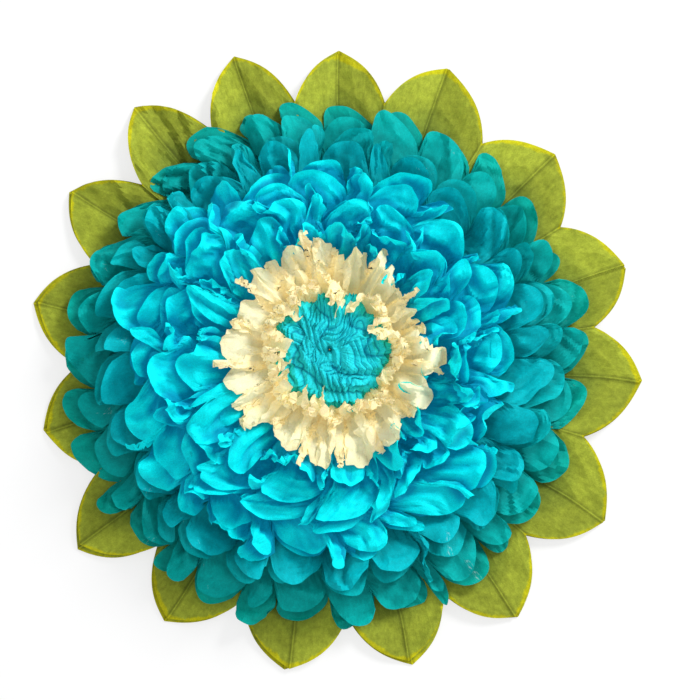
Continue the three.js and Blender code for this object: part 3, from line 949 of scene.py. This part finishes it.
def stacked_sheets(sizes):
    """The layered sheets, worked out once for all groups and again when a size has changed."""
    wanted = (sizes.panel_width, sizes.hub_radius, sizes.pleats_open_by, sizes.gap, sizes.columns, sizes.rows)
    if wanted not in STACKS:
        STACKS.clear()
        STACKS[wanted] = layered_sheets(sizes)
    return STACKS[wanted]


def build_group(group, material_for):
    """Makes a mesh of each sheet of a group."""
    layers, about, nearest = stacked_sheets(bpy.context.scene.flower_sizes)
    for index, node in enumerate(SHEETS[group]):
        points, paper = layers[node]
        piece = sheet_mesh(f"{node}_paper", points, paper, shade_depth(about, nearest, points), material_for(index))
        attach(piece, "root")
        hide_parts(node)


def mixed_values(first, second, share):
    """A colour some share of the way from the first to the second."""
    return tuple(a * (1 - share) + b * share for a, b in zip(first, second))


class MESH_OT_leaf_sheets(Operator):
    """Add the two pointed leaf sheets"""

    bl_idname = "mesh.flower_leaf_sheets"
    bl_label = "Leaf Sheets"

    def execute(self, context):
        colours = context.scene.flower_colours
        # Painted shade towards the tie, under the petals, in hollows, along the folds and on one half of each
        # leaf; painted light along the cut edges; rare painted highlights.
        stops = [(0.8, colours.leaf_shade), (0.9, colours.leaf), (0.984, colours.leaf),
                 (0.992, colours.leaf_edge_light)]
        material = tissue("leaf_tissue", stops, colours.leaf_shade, through=0.2, crinkle=0.6,
                          fold_line=0.4, mottle=0.14, highlight_rarity=0.9, shaded_halves=0.8)
        build_group("leaf", lambda index: material)
        return {"FINISHED"}


class MESH_OT_teal_sheets(Operator):
    """Add the teal petal sheets"""

    bl_idname = "mesh.flower_teal_sheets"
    bl_label = "Teal Sheets"

    def execute(self, context):
        colours = context.scene.flower_colours

        def material(index):
            # Painted shade: sheets further back darker and greener, each darker towards the tie, in hollows
            # and along the folds; a faint painted glow and painted highlights.
            end = mixed_values(colours.teal_back_shade, colours.teal, index / (len(SHEETS["teal"]) - 1))
            stops = [(0.15, colours.teal_shade), (0.8, end)]
            return tissue(f"teal_tissue_{index + 1}", stops, colours.teal_shade, fold_line=0.12, painted_glow=0.03)

        build_group("teal", material)
        return {"FINISHED"}


class MESH_OT_turquoise_sheets(Operator):
    """Add the turquoise petal sheets"""

    bl_idname = "mesh.flower_turquoise_sheets"
    bl_label = "Turquoise Sheets"

    def execute(self, context):
        colours = context.scene.flower_colours
        # Painted shade: bluer and darker towards the tie, in hollows and along the folds; a painted glow and
        # painted highlights.
        stops = [(0.15, colours.turquoise_shade), (0.6, colours.turquoise)]
        material = tissue("turquoise_tissue", stops, colours.turquoise_shade, fold_line=0.1, mottle=0.05,
                          shade_share=0.65, highlight_rarity=0.8, painted_glow=0.16)
        build_group("turquoise", lambda index: material)
        return {"FINISHED"}


class MESH_OT_cream_sheets(Operator):
    """Add the frilled cream ring"""

    bl_idname = "mesh.flower_cream_sheets"
    bl_label = "Cream Sheets"

    def execute(self, context):
        colours = context.scene.flower_colours
        # Painted shade: yellower inside the ring, greyer at its thin tips and darker in hollows; a painted
        # glow and rare painted highlights.
        stops = [(0.3, colours.cream_shade), (0.72, colours.cream), (0.9, colours.cream),
                 (1.0, colours.cream_tip_shade)]
        material = tissue("cream_tissue", stops, colours.cream_shade, painted_glow=0.14, through=0.35, crinkle=0.3,
                          shade_share=0.15, mottle=0.03, highlight_rarity=0.9)
        build_group("cream", lambda index: material)
        return {"FINISHED"}


def tuft_wall(bearing, along):
    """Radius and height of the tuft's smooth wall, up from its foot, and how far it has turned in."""
    low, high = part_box("centre_tuft")
    reach = (high[0] - low[0]) / 2 / MM
    top = high[2] / MM
    rise = smooth(along, 0, 0.36)
    inward = np.clip((along - 0.3) / 0.7, 0, 1)
    ragged = 1 + 0.05 * np.sin(5 * bearing + 1) + 0.04 * np.sin(11 * bearing + 2)
    swollen = TUFT_FOOT + (reach - TUFT_FOOT) * np.sin(rise * math.pi / 2)
    radius = swollen * ragged * np.cos(TUFT_TURN * inward * math.pi / 2) ** 0.8
    climb = top - 2 * TUFT_FOOT_HEIGHT
    height = TUFT_FOOT_HEIGHT + climb * rise + TUFT_DOME * np.sin(inward * math.pi / 2) + 0 * bearing
    return radius, height, inward


def tuft_folds(places):
    """How far the tuft's folds stand out at each place, and how dark the painted shade in its creases is,
    from 0 to 1.
    """
    rng = np.random.default_rng(TUFT_SEED)
    folds = {name: sharp_folds(places, rng, *shape) for name, shape in TUFT_FOLDS.items()}
    slanted = 1 - smooth(folds["patches"], 0.45, 0.55)
    folds["main"] = folds["upright"] * (1 - slanted) + folds["slanting"] * slanted
    main, fine, broad = folds["main"], folds["fine"], folds["broad"]
    out = TUFT_DEPTHS["main"] * main + TUFT_DEPTHS["fine"] * fine * main + TUFT_DEPTHS["broad"] * broad
    crease_shade = np.maximum(np.maximum(1 - 3.5 * main, 1 - 6 * broad), 0.7 - 3.5 * fine)
    return out, np.clip(crease_shade, 0, 1)


def hidden_pleats(radius, along, inward):
    """Depth of the close pleats that take up the strip's width, down the hidden wall and at its mouth."""
    columns = len(radius)
    needed = 2 * TUFT_STOCK / columns
    side = TURN * radius.mean(axis=0) / columns
    depth = np.sqrt(np.maximum(needed ** 2 - side ** 2, 0)) / 2
    depth *= 1 - smooth(inward[0], 0.05, 0.25) + 0.6 * smooth(inward[0], 0.98, 1)
    return np.where(np.arange(columns) % 2 == 0, 1, -1)[:, None] * depth * smooth(along, 0.02, 0.1)


class MESH_OT_centre_tuft(Operator):
    """Add the crumpled sheet in the middle"""

    bl_idname = "mesh.flower_centre_tuft"
    bl_label = "Centre Tuft"

    def execute(self, context):
        colours = context.scene.flower_colours
        columns, rows = TUFT_GRID
        bearing = np.linspace(0, TURN, columns, endpoint=False)[:, None]
        along = np.linspace(0, 1, rows)[None, :]
        radius, height, inward = tuft_wall(bearing, along)
        points = np.stack((radius * np.cos(bearing), radius * np.sin(bearing), height), axis=2)
        points = leaned(points, 1)
        out, crease_shade = (values.reshape(height.shape) for values in tuft_folds(points.reshape(-1, 3)))
        # The painted shade of the creases fades out towards the mouth.
        crease_shade = crease_shade * (1 - smooth(inward, 0.85, 0.95))
        sideways = 1 - smooth(inward, 0.3, 1) + 0 * bearing
        upwards = 0.2 + 2.2 * inward + 0 * bearing
        outward = unit(np.stack((np.cos(bearing) * sideways, np.sin(bearing) * sideways, upwards), axis=2))
        out = out * smooth(along, 0.05, 0.35) + hidden_pleats(radius, along, inward)
        points = points + outward * out[..., None]

        paper = np.stack((np.broadcast_to(bearing / TURN, height.shape), np.full(height.shape, 0.5)), axis=2)
        stops = [(0.0, colours.tuft), (1.0, colours.tuft)]
        # Painted shade: the centre's creases take the blue shade colour.
        material = tissue("tuft_tissue", stops, colours.tuft_shade, crinkle=0.4, shade_share=0.8, highlight_rarity=0.95)
        piece = sheet_mesh("centre_tuft_paper", points * MM, paper, crease_shade, material)
        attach(piece, "root")
        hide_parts("centre_tuft")
        return {"FINISHED"}


class MATERIAL_OT_tie(Operator):
    """Give the tie its paper covering"""

    bl_idname = "material.flower_tie"
    bl_label = "Tie"

    def execute(self, context):
        colours = context.scene.flower_colours
        stops = [(0.0, colours.tie), (1.0, colours.tie)]
        material = tissue("tie_paper", stops, colours.tie, through=0.02, mottle=0.05, highlight_rarity=0.8)
        tie = bpy.data.objects["tie"]
        tie.data.materials.clear()
        tie.data.materials.append(material)
        return {"FINISHED"}


# The studio

def area_light(name, place, aim, size, power):
    """A round lamp at a place, aimed at another."""
    data = bpy.data.lights.new(name, "AREA")
    data.shape = "DISK"
    data.size = size
    data.energy = power
    lamp = bpy.data.objects.new(name, data)
    lamp.location = place
    lamp.rotation_euler = (Vector(aim) - Vector(place)).to_track_quat("-Z", "Y").to_euler()
    bpy.context.scene.collection.objects.link(lamp)


def whiten(tree):
    """A white table that still shows a soft shadow where the camera sees it."""
    surface = tree.nodes["Principled BSDF"]
    surface.inputs["Base Color"].default_value = (0.93, 0.93, 0.93, 1)
    surface.inputs["Roughness"].default_value = 0.9
    white = add_node(tree, "ShaderNodeEmission")
    rays = add_node(tree, "ShaderNodeLightPath")
    seen = math_node(tree, "MAXIMUM", rays.outputs["Is Camera Ray"], rays.outputs["Is Glossy Ray"])
    share = math_node(tree, "MULTIPLY", seen, TABLE_GLOW)
    blend = add_node(tree, "ShaderNodeMixShader")
    link(tree, share, blend.inputs[0])
    link(tree, surface.outputs[0], blend.inputs[1])
    link(tree, white.outputs[0], blend.inputs[2])
    link(tree, blend.outputs[0], tree.nodes["Material Output"].inputs["Surface"])


class SCENE_OT_studio(Operator):
    """Add the table, the light and the camera"""

    bl_idname = "scene.flower_studio"
    bl_label = "Studio"

    def execute(self, context):
        scene = context.scene
        sizes = scene.flower_sizes
        half = sizes.table_width / 2
        mesh = bpy.data.meshes.new("table")
        corners = ((-half, -half), (half, -half), (half, half), (-half, half))
        mesh.from_pydata([(x, y, -TABLE_DROP) for x, y in corners], [], [(0, 1, 2, 3)])
        material = bpy.data.materials.new("table_white")
        material.use_nodes = True
        whiten(material.node_tree)
        mesh.materials.append(material)
        table = bpy.data.objects.new("table", mesh)
        scene.collection.objects.link(table)

        world = bpy.data.worlds.new("studio")
        scene.world = world
        world.use_nodes = True
        sky = world.node_tree.nodes["Background"]
        sky.inputs["Color"].default_value = (1, 1, 1, 1)
        sky.inputs["Strength"].default_value = SKY_STRENGTH
        area_light("key", LAMP_PLACE, (0, 0, 0), LAMP_SIZE, LAMP_POWER)

        data = bpy.data.cameras.new("camera")
        data.sensor_width = SENSOR
        data.lens = SENSOR * sizes.camera_height / sizes.frame_width
        camera = bpy.data.objects.new("camera", data)
        camera.location = (*CAMERA_ASIDE, sizes.camera_height)
        scene.collection.objects.link(camera)
        scene.camera = camera
        scene.view_settings.view_transform = "Standard"
        return {"FINISHED"}


# The panel and the run

PIECES = (
    MESH_OT_leaf_sheets,
    MESH_OT_teal_sheets,
    MESH_OT_turquoise_sheets,
    MESH_OT_cream_sheets,
    MESH_OT_centre_tuft,
    MATERIAL_OT_tie,
    SCENE_OT_studio,
)


class VIEW3D_PT_flower(Panel):
    """Lists the flower's sizes, colours and pieces"""

    bl_idname = "VIEW3D_PT_flower"
    bl_label = "Tissue Paper Flower"
    bl_space_type = "VIEW_3D"
    bl_region_type = "UI"
    bl_category = "Flower"

    def draw(self, context):
        layout = self.layout
        for settings in (context.scene.flower_sizes, context.scene.flower_colours):
            box = layout.box()
            for name in settings.bl_rna.properties.keys():
                if name not in {"rna_type", "name"}:
                    box.prop(settings, name)
        for piece in PIECES:
            layout.operator(piece.bl_idname)


CLASSES = (FlowerSizes, FlowerColours, *PIECES, VIEW3D_PT_flower)


def register():
    for cls in CLASSES:
        bpy.utils.register_class(cls)
    bpy.types.Scene.flower_sizes = PointerProperty(type=FlowerSizes)
    bpy.types.Scene.flower_colours = PointerProperty(type=FlowerColours)


def unregister():
    del bpy.types.Scene.flower_colours
    del bpy.types.Scene.flower_sizes
    for cls in reversed(CLASSES):
        bpy.utils.unregister_class(cls)


def main():
    register()
    for piece in PIECES:
        group, name = piece.bl_idname.split(".")
        getattr(getattr(bpy.ops, group), name)()
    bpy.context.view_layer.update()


if __name__ == "__main__":
    main()
